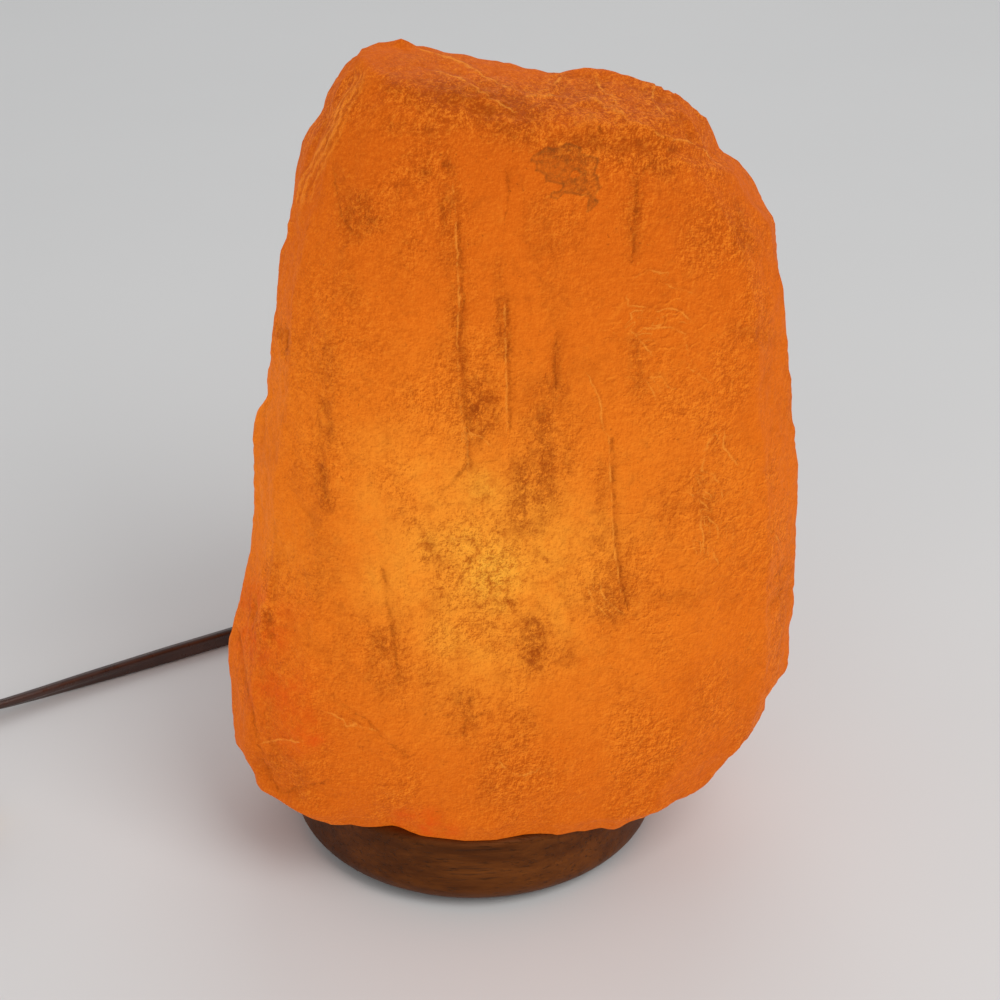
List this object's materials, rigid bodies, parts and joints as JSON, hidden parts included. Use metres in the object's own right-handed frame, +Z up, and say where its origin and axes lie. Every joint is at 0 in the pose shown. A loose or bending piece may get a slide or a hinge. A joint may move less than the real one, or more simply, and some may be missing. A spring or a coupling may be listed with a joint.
{
  "type": "salt crystal lamp",
  "caption": "Rough salt crystal on a round dark wooden base, hollowed for a small lit bulb, with a flat lead, an in-line rotary dimmer and a plug.",
  "frame": {"origin": "on the table, under the middle of the stone's outline, so that the round base's axis is 10 mm left of it", "axes": "+Z up, +X to the lamp's right, +Y to the back, where the lead leaves the base"},
  "size_m": [0.3834, 0.2234, 0.2352],
  "materials": {
    "salt": "rough crystalline, lit from inside",
    "wood": "dark oiled",
    "foot_rubber": "matte",
    "zinc_steel": "zinc plated",
    "spring_steel": "plain",
    "nylon": "natural",
    "holder_plastic": "satin",
    "porcelain": "unglazed",
    "brass": "plain",
    "wire_sleeve": "satin",
    "bulb_glass": "clear",
    "stem_glass": "clear",
    "black_glass": "glossy",
    "filament": "glowing",
    "cord": "glossy dark brown",
    "cord_fittings": "satin dark brown",
    "dimmer_case": "satin dark brown",
    "dimmer_knob": "satin",
    "circuit_board": "satin",
    "component_black": "matte",
    "component_orange": "glossy",
    "tie": "satin"
  },
  "bodies": {
    "light_unit": {"holder_cup": "holder_plastic", "holder_sleeve": "holder_plastic", "holder_core": "porcelain", "thread_shell": "brass", "centre_contact": "brass", "terminal_plates": "brass", "terminal_screws": "brass", "holder_wires": "wire_sleeve", "holder_boot": "cord_fittings", "clip_collar": "spring_steel", "lead_in_base": "cord", "cord_bushing": "cord_fittings", "cord_to_dimmer": "cord", "cord_to_coil": "cord", "cord_coil": "cord", "cord_to_plug": "cord", "coil_tie": "tie", "dimmer_base": "dimmer_case", "dimmer_cover": "dimmer_case", "dimmer_screws": "zinc_steel", "dimmer_board": "circuit_board", "dimmer_control": "component_black", "dimmer_triac": "component_black", "dimmer_capacitor": "component_orange", "dimmer_bushings": "cord_fittings", "plug_body": "cord_fittings", "plug_face": "cord_fittings", "plug_blades": "brass", "plug_strain_relief": "cord_fittings"},
    "stone_and_base": {"salt_crystal": "salt", "wooden_base": "wood", "base_screws": "zinc_steel", "screw_plugs": "nylon", "rubber_feet": "foot_rubber"},
    "bulb_contact": {"bulb_tip": "brass"},
    "bulb": {"bulb_glass": "bulb_glass", "bulb_cap": "brass", "bulb_insulator": "black_glass", "bulb_stem": "stem_glass", "bulb_leads": "spring_steel", "bulb_filament": "filament"},
    "clip_right": {"clip_right": "spring_steel"},
    "clip_left": {"clip_left": "spring_steel"},
    "dimmer_wheel": {"dimmer_wheel": "dimmer_knob"}
  },
  "joints": [
    {"name": "stone_lift", "type": "slide", "parent": "light_unit", "child": "stone_and_base", "axis": [0, 0, 1], "range_m": [0, 0.13]},
    {"name": "bulb_rise", "type": "slide", "parent": "light_unit", "child": "bulb_contact", "axis": [0, 0, 1], "range_m": [0, 0.0084]},
    {"name": "bulb_turn", "type": "hinge", "parent": "bulb_contact", "child": "bulb", "pos_m": [-0.01, 0, 0.09], "axis": [0, 0, 1], "range_deg": [0, 1080]},
    {"name": "clip_right_squeeze", "type": "hinge", "parent": "light_unit", "child": "clip_right", "pos_m": [0.0035, 0, 0.0795], "axis": [0, 1, 0], "range_deg": [0, 10], "stiffness_Nm_per_rad": 0.3},
    {"name": "clip_left_squeeze", "type": "hinge", "parent": "light_unit", "child": "clip_left", "pos_m": [-0.0235, 0, 0.0795], "axis": [0, -1, 0], "range_deg": [0, 10], "stiffness_Nm_per_rad": 0.3},
    {"name": "dimmer_turn", "type": "hinge", "parent": "light_unit", "child": "dimmer_wheel", "pos_m": [-0.2304, 0.00632, 0.018], "axis": [0, 0, 1], "range_deg": [0, 270]}
  ],
  "couplings": [
    {"joint": "bulb_rise", "follows": "bulb_turn", "m_per_rad": 0.00044563}
  ]
}
